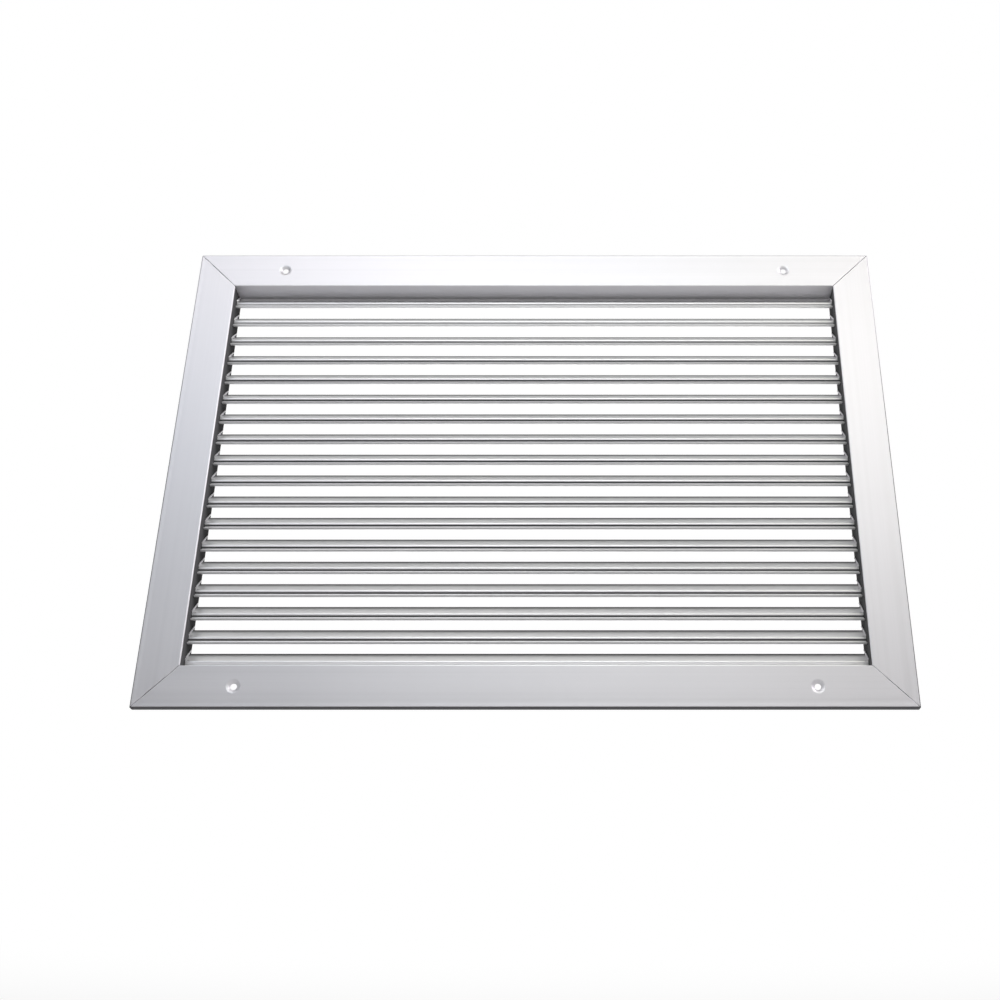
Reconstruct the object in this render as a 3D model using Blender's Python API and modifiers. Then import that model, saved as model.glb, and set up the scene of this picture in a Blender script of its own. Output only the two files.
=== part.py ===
"""Return air grille: a mitred frame of extruded aluminium that carries sloping louvre blades.

Metres, +Z up. The face of the grille looks towards -Y and the neck goes back towards +Y. The origin is
the middle of the whole grille. Depths are counted from the front of the face, heights from the middle.
"""

import math

import bpy
import bmesh
from mathutils import Euler, Vector

MM = 0.001

# Face and neck
FACE_WIDTH = 500.0 * MM
FACE_HEIGHT = 350.0 * MM
FLANGE_WIDTH = 28.0 * MM
FLANGE_THICKNESS = 1.6 * MM
NECK_DEPTH = 20.0 * MM
NECK_WALL = 1.5 * MM
INNER_EDGE_RADIUS = 0.9 * MM
OUTER_EDGE_RADIUS = 2.6 * MM
RETURN_DEPTH = 5.0 * MM
RETURN_WALL = 1.6 * MM

# Channel behind the flange that holds the corner keys
KEY_WIDTH = 10.0 * MM
KEY_THICKNESS = 1.6 * MM
KEY_LEG = 40.0 * MM
KEY_TIP_CHAMFER = 1.5 * MM
CHANNEL_FROM_OUTER_EDGE = 13.5 * MM
RIB_WALL = 1.2 * MM
HOOK_REACH = 1.4 * MM
HOOK_THICKNESS = 0.8 * MM

# Screw holes in the top and bottom members
HOLE_INSET = 64.0 * MM
HOLE_FROM_OUTER_EDGE = 14.0 * MM
HOLE_RADIUS = 2.1 * MM
SINK_RADIUS = 4.2 * MM
SINK_DEPTH = 1.2 * MM

# Louvre blades
BLADE_PITCH = 16.45 * MM
BLADE_SLOPE = math.radians(45.0)
BLADE_THICKNESS = 1.2 * MM
FLAP_LENGTH = 11.9 * MM
BEAD_DEPTH = 10.2 * MM
BEAD_RADIUS = 1.2 * MM
BEAD_PROUD = 0.65 * MM
COVE_RADIUS = 1.5 * MM
LIP_REACH = 3.0 * MM
LIP_DROP = 4.5 * MM

# Blade ends, and the punched slots of the side necks that hold them
RELIEF_START = 1.3 * MM
RELIEF_LENGTH = 1.7 * MM
RELIEF_WIDTH = 1.8 * MM
TONGUE_LENGTH = 7.1 * MM
TONGUE_PAST_WALL = 0.4 * MM
SLOT_START = 1.0 * MM
SLOT_ABOVE_BLADE = 2.1 * MM
SLOT_END_WALL = 1.6 * MM
SLOT_TOP_WALL = 0.8 * MM
LUG_THICKNESS = 0.9 * MM
LUG_PROUD = 1.4 * MM

# Clearance between pieces that touch, and how finely arcs are drawn
GAP = 0.3 * MM
ARC_STEP = math.radians(18.0)
HOLE_SIDES = 32
CUT_PAST = 2.0 * MM
WELD_DISTANCE = 0.003 * MM
SMOOTH_BELOW = math.radians(30.0)

OPENING_WIDTH = FACE_WIDTH - 2 * FLANGE_WIDTH
OPENING_HEIGHT = FACE_HEIGHT - 2 * FLANGE_WIDTH
CHANNEL_CENTRE = FLANGE_WIDTH - CHANNEL_FROM_OUTER_EDGE
FRONT_Y = -NECK_DEPTH / 2


def clear_scene():
    """Remove the objects, meshes and curves that the file opens with."""
    for obj in list(bpy.data.objects):
        bpy.data.objects.remove(obj, do_unlink=True)
    for blocks in (bpy.data.meshes, bpy.data.curves):
        for block in list(blocks):
            blocks.remove(block)


def new_collection(name):
    """A collection linked to the scene."""
    collection = bpy.data.collections.new(name)
    bpy.context.scene.collection.children.link(collection)
    return collection


def aluminium(name, colour, roughness):
    """A satin anodised aluminium."""
    material = bpy.data.materials.new(name)
    material.use_nodes = True
    shader = material.node_tree.nodes["Principled BSDF"]
    shader.inputs["Base Color"].default_value = (*colour, 1.0)
    shader.inputs["Metallic"].default_value = 1.0
    shader.inputs["Roughness"].default_value = roughness
    material.diffuse_color = (*colour, 1.0)
    return material


def polar(radius, angle):
    """The point at a radius and an angle from the origin."""
    return Vector((radius * math.cos(angle), radius * math.sin(angle)))


def arc(centre, radius, start, sweep):
    """Points along an arc, both ends included; a positive sweep turns from +X to +Y."""
    steps = max(2, math.ceil(abs(sweep) / ARC_STEP))
    return [centre + polar(radius, start + sweep * step / steps) for step in range(steps + 1)]


def angle_of(direction):
    """The angle of a direction, from 0 to a full turn."""
    return math.atan2(direction.y, direction.x) % math.tau


def clip(outline, normal, limit):
    """The part of a convex outline whose distance along a normal stays under a limit."""
    kept = []
    for point, following in zip(outline, outline[1:] + outline[:1]):
        here = limit - normal.dot(point)
        there = limit - normal.dot(following)
        if here >= 0:
            kept.append(point)
        if here * there < 0:
            kept.append(point.lerp(following, here / (here - there)))
    return kept


def prism(name, outlines, length, collection):
    """Outlines in the XY plane, filled and drawn out along Z to both sides, as one welded mesh."""
    curve = bpy.data.curves.new(name, "CURVE")
    curve.dimensions = "2D"
    curve.fill_mode = "BOTH"
    curve.extrude = length / 2
    for outline in outlines:
        spline = curve.splines.new("POLY")
        spline.points.add(len(outline) - 1)
        for point, place in zip(spline.points, outline):
            point.co = (place.x, place.y, 0.0, 1.0)
        spline.use_cyclic_u = True
    drawn = bpy.data.objects.new(name, curve)
    bpy.context.scene.collection.objects.link(drawn)
    mesh = evaluated_mesh(drawn)
    bpy.data.objects.remove(drawn, do_unlink=True)
    bpy.data.curves.remove(curve)
    shape = bmesh.new()
    shape.from_mesh(mesh)
    bmesh.ops.remove_doubles(shape, verts=shape.verts, dist=WELD_DISTANCE)
    bmesh.ops.recalc_face_normals(shape, faces=shape.faces)
    shape.to_mesh(mesh)
    shape.free()
    mesh.name = name
    obj = bpy.data.objects.new(name, mesh)
    collection.objects.link(obj)
    return obj


def evaluated_mesh(obj):
    """The mesh of an object with its modifiers worked out."""
    bpy.context.view_layer.update()
    graph = bpy.context.evaluated_depsgraph_get()
    return bpy.data.meshes.new_from_object(obj.evaluated_get(graph))


def turn(obj, rotation, move=(0.0, 0.0, 0.0)):
    """Turn a mesh about its origin by Euler angles, then move it."""
    matrix = Euler(rotation).to_matrix().to_4x4()
    matrix.translation = move
    obj.data.transform(matrix)


def as_section(obj, move=(0.0, 0.0, 0.0)):
    """Lay a prism along X, with its outline's X as depth along +Y and its Y as height along +Z."""
    turn(obj, (math.pi / 2, 0.0, math.pi / 2), move)


def as_plate(obj, move=(0.0, 0.0, 0.0)):
    """Stand a prism up, with its outline's Y as height along +Z and its length along Y."""
    turn(obj, (math.pi / 2, 0.0, 0.0), move)


def as_guide(obj):
    """Mark an object as a cutter or guide, which isn't a piece of the grille."""
    obj.hide_render = True
    obj.display_type = "WIRE"


def boolean(obj, operation, other):
    """Cut, join or trim an object by another one."""
    as_guide(other)
    modifier = obj.modifiers.new(f"{operation.lower()} {other.name}", "BOOLEAN")
    modifier.operation = operation
    modifier.solver = "EXACT"
    modifier.object = other


def finish(mesh, material):
    """Give a piece's mesh its material and shade its rounds smooth."""
    mesh.materials.clear()
    mesh.materials.append(material)
    mesh.shade_smooth()
    mesh.set_sharp_from_angle(angle=SMOOTH_BELOW)


# Frame members


def member_outline():
    """The extruded section of a frame member, X as depth behind the face and Y outwards from the neck."""
    inner_round = arc(Vector((INNER_EDGE_RADIUS, INNER_EDGE_RADIUS)), INNER_EDGE_RADIUS, math.pi * 1.5, -math.pi / 2)
    outer_centre = Vector((OUTER_EDGE_RADIUS, FLANGE_WIDTH - OUTER_EDGE_RADIUS))
    outer_round = arc(outer_centre, OUTER_EDGE_RADIUS, math.pi, -math.pi / 2)
    hollow_radius = max(OUTER_EDGE_RADIUS - FLANGE_THICKNESS, GAP)
    hollow_centre = Vector((FLANGE_THICKNESS + hollow_radius, FLANGE_WIDTH - RETURN_WALL - hollow_radius))
    hollow_round = arc(hollow_centre, hollow_radius, math.pi / 2, math.pi / 2)
    outline = [Vector((NECK_DEPTH, 0.0))]
    outline += inner_round
    outline += outer_round
    outline += [Vector((RETURN_DEPTH, FLANGE_WIDTH)), Vector((RETURN_DEPTH, FLANGE_WIDTH - RETURN_WALL))]
    outline += hollow_round
    outline += channel_rib(1)
    outline += channel_rib(-1)
    outline += [Vector((FLANGE_THICKNESS, NECK_WALL)), Vector((NECK_DEPTH, NECK_WALL))]
    return outline


def channel_rib(side):
    """A hooked rib of the key channel: side 1 is the outer rib, -1 the inner one."""
    wall = CHANNEL_CENTRE + side * (KEY_WIDTH / 2 + GAP)
    back = wall + side * RIB_WALL
    tip = wall - side * HOOK_REACH
    hook_front = FLANGE_THICKNESS + KEY_THICKNESS + 2 * GAP
    hook_back = hook_front + HOOK_THICKNESS
    rib = [
        Vector((FLANGE_THICKNESS, back)),
        Vector((hook_back, back)),
        Vector((hook_back, tip)),
        Vector((hook_front, tip)),
        Vector((hook_front, wall)),
        Vector((FLANGE_THICKNESS, wall)),
    ]
    return rib if side > 0 else rib[::-1]


def frame_member(name, opening, turned, place, collection):
    """A member along X above its opening edge, its ends mitred, then turned about Y to its side."""
    member = prism(name, [member_outline()], opening, collection)
    as_section(member)
    mitre_gap = GAP / math.sqrt(2)
    for vertex in member.data.vertices:
        vertex.co.x += math.copysign(1.0, vertex.co.x) * (vertex.co.z - mitre_gap)
    member.rotation_euler = (0.0, turned, 0.0)
    member.location = place
    return member


# Screw holes


def screw_hole_cutter(name, across, up, collection):
    """A countersunk hole through the flange, turned about the hole's axis."""
    slope = (SINK_RADIUS - HOLE_RADIUS) / SINK_DEPTH
    mouth = -CUT_PAST / 4
    end = RETURN_DEPTH + CUT_PAST
    profile = [
        (0.0, mouth),
        (SINK_RADIUS - slope * mouth, mouth),
        (HOLE_RADIUS, SINK_DEPTH),
        (HOLE_RADIUS, end),
        (0.0, end),
    ]
    mesh = bpy.data.meshes.new(name)
    edges = [(index, index + 1) for index in range(len(profile) - 1)]
    mesh.from_pydata([(radius, 0.0, -depth) for radius, depth in profile], edges, [])
    cutter = bpy.data.objects.new(name, mesh)
    collection.objects.link(cutter)
    screw = cutter.modifiers.new("turn", "SCREW")
    screw.steps = HOLE_SIDES
    screw.render_steps = HOLE_SIDES
    screw.use_merge_vertices = True
    screw.merge_threshold = WELD_DISTANCE
    cutter.rotation_euler = (math.pi / 2, 0.0, 0.0)
    cutter.location = (across, FRONT_Y, up)
    return cutter


# Louvre blades


def slope_axes():
    """Directions along the blade's slope, backwards and up, and square to it, forwards and up."""
    along = polar(1.0, BLADE_SLOPE)
    return along, Vector((-along.y, along.x))


def on_slope(along_slope, off_slope):
    """The point at a distance along the slope from the bead's middle, and a distance off it."""
    along, square = slope_axes()
    return along * along_slope + square * off_slope


UPPER_FACE = BEAD_RADIUS - BEAD_PROUD
LOWER_FACE = UPPER_FACE - BLADE_THICKNESS


def cove_centre():
    """The middle of the cove that touches both the bead and the round edge of the lip."""
    lip = lip_centre()
    near = BEAD_RADIUS + COVE_RADIUS
    far = COVE_RADIUS + BLADE_THICKNESS / 2
    reach = lip.length
    along = (near**2 - far**2 + reach**2) / (2 * reach)
    aside = math.sqrt(max(near**2 - along**2, 0.0))
    direction = lip.normalized()
    return direction * along + Vector((direction.y, -direction.x)) * aside


def lip_centre():
    """The middle of the round edge of the lip."""
    edge = BLADE_THICKNESS / 2
    return Vector((edge - LIP_REACH, edge - LIP_DROP))


def blade_outline():
    """The extruded section of a blade, from the bead's middle: X is backwards and Y is up."""
    edge = BLADE_THICKNESS / 2
    middle = Vector((0.0, 0.0))
    cove = cove_centre()
    lip = lip_centre()
    back_radius = COVE_RADIUS + BLADE_THICKNESS

    bead_start = angle_of(on_slope(math.sqrt(BEAD_RADIUS**2 - UPPER_FACE**2), UPPER_FACE))
    bead_end = angle_of(cove)
    cove_start = angle_of(-cove)
    lip_start = angle_of(cove - lip)
    cove_end = angle_of(lip - cove) - math.tau
    _, square = slope_axes()
    back_end = BLADE_SLOPE + math.asin((LOWER_FACE - square.dot(cove)) / back_radius)

    outline = arc(on_slope(FLAP_LENGTH - edge, UPPER_FACE - edge), edge, BLADE_SLOPE - math.pi / 2, math.pi)
    outline += arc(middle, BEAD_RADIUS, bead_start, bead_end - bead_start)
    outline += arc(cove, COVE_RADIUS, cove_start, cove_end - cove_start)[1:]
    outline += arc(lip, edge, lip_start, math.pi)[1:]
    outline += arc(cove, back_radius, cove_end, back_end - cove_end)[1:]
    return outline


def blade_blank_outline():
    """A blade seen square to its slope: X along the blade, Y up the slope, tongues and reliefs at its ends."""
    wall = OPENING_WIDTH / 2 - GAP
    tongue = OPENING_WIDTH / 2 + NECK_WALL + TONGUE_PAST_WALL
    relief_end = RELIEF_START + RELIEF_LENGTH
    front = -(LIP_REACH + LIP_DROP)
    end = [
        Vector((wall, front)),
        Vector((wall, RELIEF_START)),
        Vector((wall - RELIEF_WIDTH, RELIEF_START)),
        Vector((wall - RELIEF_WIDTH, relief_end)),
        Vector((tongue, relief_end)),
        Vector((tongue, relief_end + TONGUE_LENGTH)),
        Vector((wall, relief_end + TONGUE_LENGTH)),
        Vector((wall, FLAP_LENGTH + CUT_PAST)),
    ]
    return end + [Vector((-point.x, point.y)) for point in end[::-1]]


def blade_mesh(collection):
    """The one mesh that all blades share: the section drawn out, then trimmed to its blank outline."""
    length = OPENING_WIDTH + 2 * (NECK_WALL + TONGUE_PAST_WALL + CUT_PAST)
    section = prism("blade_section", [blade_outline()], length, collection)
    as_section(section)
    blank = prism("blade_blank", [blade_blank_outline()], 4 * (LIP_REACH + LIP_DROP), collection)
    turn(blank, (BLADE_SLOPE, 0.0, 0.0))
    boolean(section, "INTERSECT", blank)
    mesh = evaluated_mesh(section)
    mesh.name = "louvre_blade"
    for helper in (section, blank):
        bpy.data.objects.remove(helper, do_unlink=True)
    return mesh


def bead_heights():
    """Height of each blade's bead, from the top blade down, the row centred in the opening."""
    outline = blade_outline()
    top = max(point.y for point in outline)
    bottom = min(point.y for point in outline)
    free = OPENING_HEIGHT - 2 * GAP - (top - bottom)
    count = math.floor(free / BLADE_PITCH) + 1
    first = (count - 1) * BLADE_PITCH / 2 - (top + bottom) / 2
    return [first - index * BLADE_PITCH for index in range(count)]


# Slots and lugs of the side necks


def slot_outline(height):
    """The punched slot round a blade's tongue, X as depth and Y as height, ending short of the neck's edges."""
    return strip_outline(height, LOWER_FACE - GAP, UPPER_FACE + SLOT_ABOVE_BLADE)


def lug_outline(height):
    """The lug along the slot's upper side, where the punched metal is folded into the opening."""
    lower = UPPER_FACE + SLOT_ABOVE_BLADE
    return strip_outline(height, lower, lower + LUG_THICKNESS)


def strip_outline(height, lower, upper):
    """A strip along the slope of the blade at a height, between two distances off the slope."""
    bead = Vector((BEAD_DEPTH, height))
    far = 2 * NECK_DEPTH
    strip = [on_slope(SLOT_START, lower), on_slope(far, lower), on_slope(far, upper), on_slope(SLOT_START, upper)]
    strip = [bead + point for point in strip]
    strip = clip(strip, Vector((1.0, 0.0)), NECK_DEPTH - SLOT_END_WALL)
    return clip(strip, Vector((0.0, 1.0)), OPENING_HEIGHT / 2 - SLOT_TOP_WALL)


def slot_cutter(name, side, collection):
    """All slots of one side neck, in one cutter."""
    outlines = [slot_outline(height) for height in bead_heights()]
    cutter = prism(name, outlines, NECK_WALL + 2 * CUT_PAST, collection)
    as_section(cutter, (side * (OPENING_WIDTH + NECK_WALL) / 2, FRONT_Y, 0.0))
    return cutter


def lugs(name, side, collection):
    """All lugs of one side neck, from inside its wall to their edge in the opening."""
    outlines = [lug_outline(height) for height in bead_heights()]
    root = NECK_WALL / 2
    shape = prism(name, outlines, root + LUG_PROUD, collection)
    as_section(shape, (side * (OPENING_WIDTH + root - LUG_PROUD) / 2, FRONT_Y, 0.0))
    return shape


# Corner keys


def key_outline():
    """An L of flat bar from its outer corner, one leg along -X and one along -Y, with chamfered tips."""
    chamfer = KEY_TIP_CHAMFER
    leg = [
        Vector((chamfer - KEY_LEG, 0.0)),
        Vector((-KEY_LEG, -chamfer)),
        Vector((-KEY_LEG, chamfer - KEY_WIDTH)),
        Vector((chamfer - KEY_LEG, -KEY_WIDTH)),
    ]
    other = [Vector((point.y, point.x)) for point in leg[::-1]]
    return [Vector((0.0, 0.0))] + leg + [Vector((-KEY_WIDTH, -KEY_WIDTH))] + other


def corner_key(name, side, level, collection):
    """The key in the channel behind one corner of the face."""
    reach = CHANNEL_CENTRE + KEY_WIDTH / 2
    corner = Vector((side * (OPENING_WIDTH / 2 + reach), level * (OPENING_HEIGHT / 2 + reach)))
    outline = [corner + Vector((side * point.x, level * point.y)) for point in key_outline()]
    key = prism(name, [outline], KEY_THICKNESS, collection)
    depth = FLANGE_THICKNESS + GAP + KEY_THICKNESS / 2
    as_plate(key, (0.0, FRONT_Y + depth, 0.0))
    return key


def build_frame(parts, cutters, material):
    """The four mitred members, with screw holes above and below and slots and lugs at the sides."""
    sides = (
        ("frame_top", OPENING_WIDTH, 0.0, (0.0, FRONT_Y, OPENING_HEIGHT / 2)),
        ("frame_right", OPENING_HEIGHT, math.pi / 2, (OPENING_WIDTH / 2, FRONT_Y, 0.0)),
        ("frame_bottom", OPENING_WIDTH, math.pi, (0.0, FRONT_Y, -OPENING_HEIGHT / 2)),
        ("frame_left", OPENING_HEIGHT, -math.pi / 2, (-OPENING_WIDTH / 2, FRONT_Y, 0.0)),
    )
    members = {name: frame_member(name, opening, turned, place, parts) for name, opening, turned, place in sides}

    across = FACE_WIDTH / 2 - HOLE_INSET
    up = FACE_HEIGHT / 2 - HOLE_FROM_OUTER_EDGE
    for name, level in (("frame_top", 1), ("frame_bottom", -1)):
        for side in (-1, 1):
            cutter = screw_hole_cutter(f"hole_{name}_{side}", side * across, level * up, cutters)
            boolean(members[name], "DIFFERENCE", cutter)

    for name, side in (("frame_left", -1), ("frame_right", 1)):
        boolean(members[name], "UNION", lugs(f"lugs_{name}", side, cutters))
        boolean(members[name], "DIFFERENCE", slot_cutter(f"slots_{name}", side, cutters))

    for member in members.values():
        finish(member.data, material)


def build_blades(parts, cutters, material):
    """One blade for each height, all sharing one mesh."""
    mesh = blade_mesh(cutters)
    finish(mesh, material)
    for index, height in enumerate(bead_heights(), start=1):
        blade = bpy.data.objects.new(f"louvre_blade_{index:02d}", mesh)
        parts.objects.link(blade)
        blade.location = (0.0, FRONT_Y + BEAD_DEPTH, height)


def build_keys(parts, material):
    """A key behind each corner."""
    for level, high in ((1, "top"), (-1, "bottom")):
        for side, wide in ((-1, "left"), (1, "right")):
            key = corner_key(f"corner_key_{high}_{wide}", side, level, parts)
            finish(key.data, material)


def main():
    clear_scene()
    parts = new_collection("return air grille")
    cutters = new_collection("cutters")
    build_frame(parts, cutters, aluminium("frame aluminium", (0.80, 0.80, 0.82), 0.34))
    build_blades(parts, cutters, aluminium("blade aluminium", (0.78, 0.78, 0.80), 0.30))
    build_keys(parts, aluminium("key aluminium", (0.62, 0.62, 0.64), 0.45))


main()
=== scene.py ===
"""Looks of the return air grille: satin anodised extrusions, a row of louvre blades and a plain studio.

Metres, +Z up, the face towards -Y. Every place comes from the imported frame, so the pieces sit where the
model has them.
"""

import math

import bmesh
import bpy
from bpy.props import FloatProperty, FloatVectorProperty, IntProperty, PointerProperty
from mathutils import Euler, Matrix, Vector


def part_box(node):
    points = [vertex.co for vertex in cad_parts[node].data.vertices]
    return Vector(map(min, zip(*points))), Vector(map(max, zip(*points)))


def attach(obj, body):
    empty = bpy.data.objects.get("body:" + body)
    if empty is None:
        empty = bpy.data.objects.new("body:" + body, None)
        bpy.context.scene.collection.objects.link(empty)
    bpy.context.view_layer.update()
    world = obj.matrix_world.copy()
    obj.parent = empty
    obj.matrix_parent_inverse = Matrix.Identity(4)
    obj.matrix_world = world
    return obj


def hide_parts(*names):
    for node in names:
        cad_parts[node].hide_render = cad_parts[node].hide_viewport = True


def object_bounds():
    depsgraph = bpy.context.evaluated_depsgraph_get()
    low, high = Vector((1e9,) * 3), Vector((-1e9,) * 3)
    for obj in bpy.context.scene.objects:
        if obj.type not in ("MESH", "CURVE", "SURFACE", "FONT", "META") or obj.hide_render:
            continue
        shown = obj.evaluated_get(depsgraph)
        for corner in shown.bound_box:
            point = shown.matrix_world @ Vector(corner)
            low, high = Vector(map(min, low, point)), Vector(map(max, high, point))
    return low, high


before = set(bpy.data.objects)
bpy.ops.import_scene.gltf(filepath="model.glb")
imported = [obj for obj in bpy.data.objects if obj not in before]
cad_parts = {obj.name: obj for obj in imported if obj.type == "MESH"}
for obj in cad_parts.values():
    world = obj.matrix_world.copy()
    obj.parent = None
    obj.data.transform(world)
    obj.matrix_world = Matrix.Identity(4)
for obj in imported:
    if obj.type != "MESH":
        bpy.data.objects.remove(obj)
CAD_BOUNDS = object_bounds()

bl_info = {
    "name": "Return air grille looks",
    "version": (1, 0, 0),
    "blender": (4, 5, 0),
    "location": "3D View > Sidebar > Grille",
    "description": "Dresses a return air grille in satin anodised aluminium and lights it in a plain studio",
    "category": "Object",
}

MM = 0.001
WELD_DISTANCE = 0.003 * MM
CUT_PAST = 2.0 * MM
SMOOTH_BELOW = math.radians(30.0)
DIP_STEPS = 8
SENSOR_WIDTH = 36.0
WHITE = (1.0, 1.0, 1.0)

# How fine the noise is: along an extrusion and across it, or the same in every direction.
LINE_SCALES = (2.0, 520.0)
BAND_SCALES = (0.8, 150.0)
FINE_SCALES = (6.0, 2100.0)
SCUFF_SCALES = (90.0, 900.0)
CLOUD_SCALE = 11.0
MOTTLE_SCALE = 160.0
PAPER_SCALE = 4.0

# Shares of the lines, bands and cloud in an extrusion's tone and satin, and what else its tone and relief hold.
TONE_SHARES = (0.3, 0.4, 0.3)
SATIN_SHARES = (0.9, 0.5, 0.5)
OWN_TONE_SHARE = 0.3
FINE_SHARE = 0.3
LINE_STRENGTH = 0.5

# Darkest and lightest tone of mill bar, the shares of mottle and scuffs in its satin and relief, and of paper.
MILL_TONES = (0.82, 1.08)
MILL_SATIN_SHARES = (0.25, 0.1)
MILL_RELIEF_SHARES = (0.6, 0.4)
MILL_STRENGTH = 0.4
MILL_RELIEF = 0.03 * MM
PAPER_DARKEST = 0.985

# Where the painted shade on the members starts and where it is full; round the rim in parts of its radius.
PAINTED_SHADE_OFF_NECK = (0.35 * MM, 0.50 * MM)
PAINTED_SHADE_BEHIND_FACE = (0.6 * MM, 1.6 * MM)
PAINTED_SHADE_TOWARDS_DUCT = (4.0 * MM, 12.0 * MM)
PAINTED_SHADE_ROUND_RIM = (0.9, 0.5)

# The same for the painted shade on the blades: by the note on a point, over the lowest blade, behind the bead
# and at the top.
PAINTED_SHADE_NOTED = (0.45, 1.0)
PAINTED_SHADE_ABOVE_BOTTOM = (7.0 * MM, 10.0 * MM)
PAINTED_SHADE_BEHIND_BEAD = 1.5 * MM
PAINTED_SHADE_THINS_BELOW_TOP = 70.0 * MM
PAINTED_SHADE_ON_ARC = 0.02 * MM
COVE_PAINTED_SHADE_AIM = 0.3

# Distance of a lamp and width of its face.
NEAR = (0.8, 0.45)
FAR = (1.6, 0.90)

# Each lamp's setting, azimuth and elevation in degrees, distance with width, and colour.
LAMPS = (
    ("front", 0.0, 30.0, NEAR, (0.96, 1.0, 1.0)),
    ("front_left_low", -35.0, 30.0, NEAR, (0.75, 0.86, 1.0)),
    ("front_left_high", -35.0, 50.0, NEAR, (1.0, 0.91, 0.87)),
    ("front_right", 35.0, 30.0, NEAR, (1.0, 1.0, 0.88)),
    ("right", 70.0, 30.0, FAR, (0.97, 0.93, 1.0)),
    ("left", -100.0, 8.0, FAR, (0.95, 0.97, 1.0)),
    ("rear", 180.0, 10.0, FAR, (1.0, 0.985, 0.93)),
)

BLADE_NODES = sorted(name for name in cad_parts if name.startswith("louvre_blade_"))
KEY_NODES = sorted(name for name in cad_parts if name.startswith("corner_key_"))
TOP_LOW, TOP_HIGH = (Vector(corner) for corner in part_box("frame_top"))
FIRST_LOW = Vector(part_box(BLADE_NODES[0])[0])
LAST_LOW = Vector(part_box(BLADE_NODES[-1])[0])

FACE_WIDTH = CAD_BOUNDS[1][0] - CAD_BOUNDS[0][0]
FACE_HEIGHT = CAD_BOUNDS[1][2] - CAD_BOUNDS[0][2]
FRONT_Y = TOP_LOW.y
NECK_DEPTH = TOP_HIGH.y - TOP_LOW.y
FLANGE_WIDTH = TOP_HIGH.z - TOP_LOW.z
OPENING_WIDTH = FACE_WIDTH - 2 * FLANGE_WIDTH
OPENING_HEIGHT = FACE_HEIGHT - 2 * FLANGE_WIDTH
BLADE_COUNT = len(BLADE_NODES)
BLADE_SPACING = (FIRST_LOW.z - LAST_LOW.z) / (BLADE_COUNT - 1)


def length(name, description, millimetres):
    """A size that a user can change."""
    return FloatProperty(
        name=name,
        description=description,
        default=millimetres * MM,
        min=0.0,
        precision=5,
        unit="LENGTH",
        subtype="DISTANCE",
    )


def share(name, description, default):
    """A value from nothing to one."""
    return FloatProperty(
        name=name, description=description, default=default, min=0.0, max=1.0, subtype="FACTOR"
    )


def turned(name, description, degrees):
    """An angle that a user can change."""
    return FloatProperty(name=name, description=description, default=math.radians(degrees), subtype="ANGLE")


def level(name, description, default):
    """The brightness of a lamp's face, where one is white."""
    return FloatProperty(name=name, description=description, default=default, min=0.0)


def tint(name, description, default):
    """A colour that a user can change."""
    return FloatVectorProperty(
        name=name, description=description, default=default, min=0.0, max=1.0, subtype="COLOR"
    )


class MemberSizes(bpy.types.PropertyGroup):
    """Sizes of the frame extrusion and its screw holes."""

    flange_thickness: length("Flange thickness", "Wall of the flat face", 1.6)
    neck_wall: length("Neck wall", "Wall that goes back into the duct", 1.5)
    inner_radius: length("Inner edge radius", "Round between the face and the neck", 0.7)
    outer_radius: length("Outer edge radius", "Round between the face and the return lip", 1.0)
    die_line_from_edge: length("Die line from edge", "Outer edge of the face to the faint dip along it", 3.4)
    die_line_width: length("Die line width", "Width of the dip", 2.0)
    die_line_depth: length("Die line depth", "Depth of the dip", 0.10)
    return_depth: length("Return depth", "Depth of the outer edge behind the face", 5.0)
    return_wall: length("Return wall", "Wall of the return lip", 1.6)
    channel_from_edge: length("Channel from edge", "Outer edge to the middle of the key channel", 13.5)
    rib_wall: length("Rib wall", "Wall of the ribs beside the key channel", 1.2)
    hook_reach: length("Hook reach", "How far the hooks hold the key", 1.4)
    hook_thickness: length("Hook thickness", "Depth of the hooks", 0.8)
    clearance: length("Clearance", "Space round a piece that sits in another", 0.3)
    mitre_gap: length("Mitre gap", "Space between the mitred ends", 0.36)
    edge_round: length("Edge round", "Round on the cut and extruded edges", 0.22)
    arc_step: turned("Arc step", "Largest turn between two points of an arc", 6.0)
    hole_inset: length("Hole inset", "End of the face to the screw hole", 64.0)
    hole_from_edge: length("Hole from edge", "Outer edge of the face to the screw hole", 14.0)
    hole_radius: length("Hole radius", "Radius of the screw hole", 2.1)
    sink_radius: length("Sink radius", "Radius of the countersink at the face", 3.3)
    sink_depth: length("Sink depth", "Depth of the countersink", 1.5)
    sink_edge_radius: length("Sink edge radius", "Soft round where the face dips into the countersink", 3.8)
    hole_sides: IntProperty(name="Hole sides", description="Sides round a screw hole", default=72, min=12)


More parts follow.
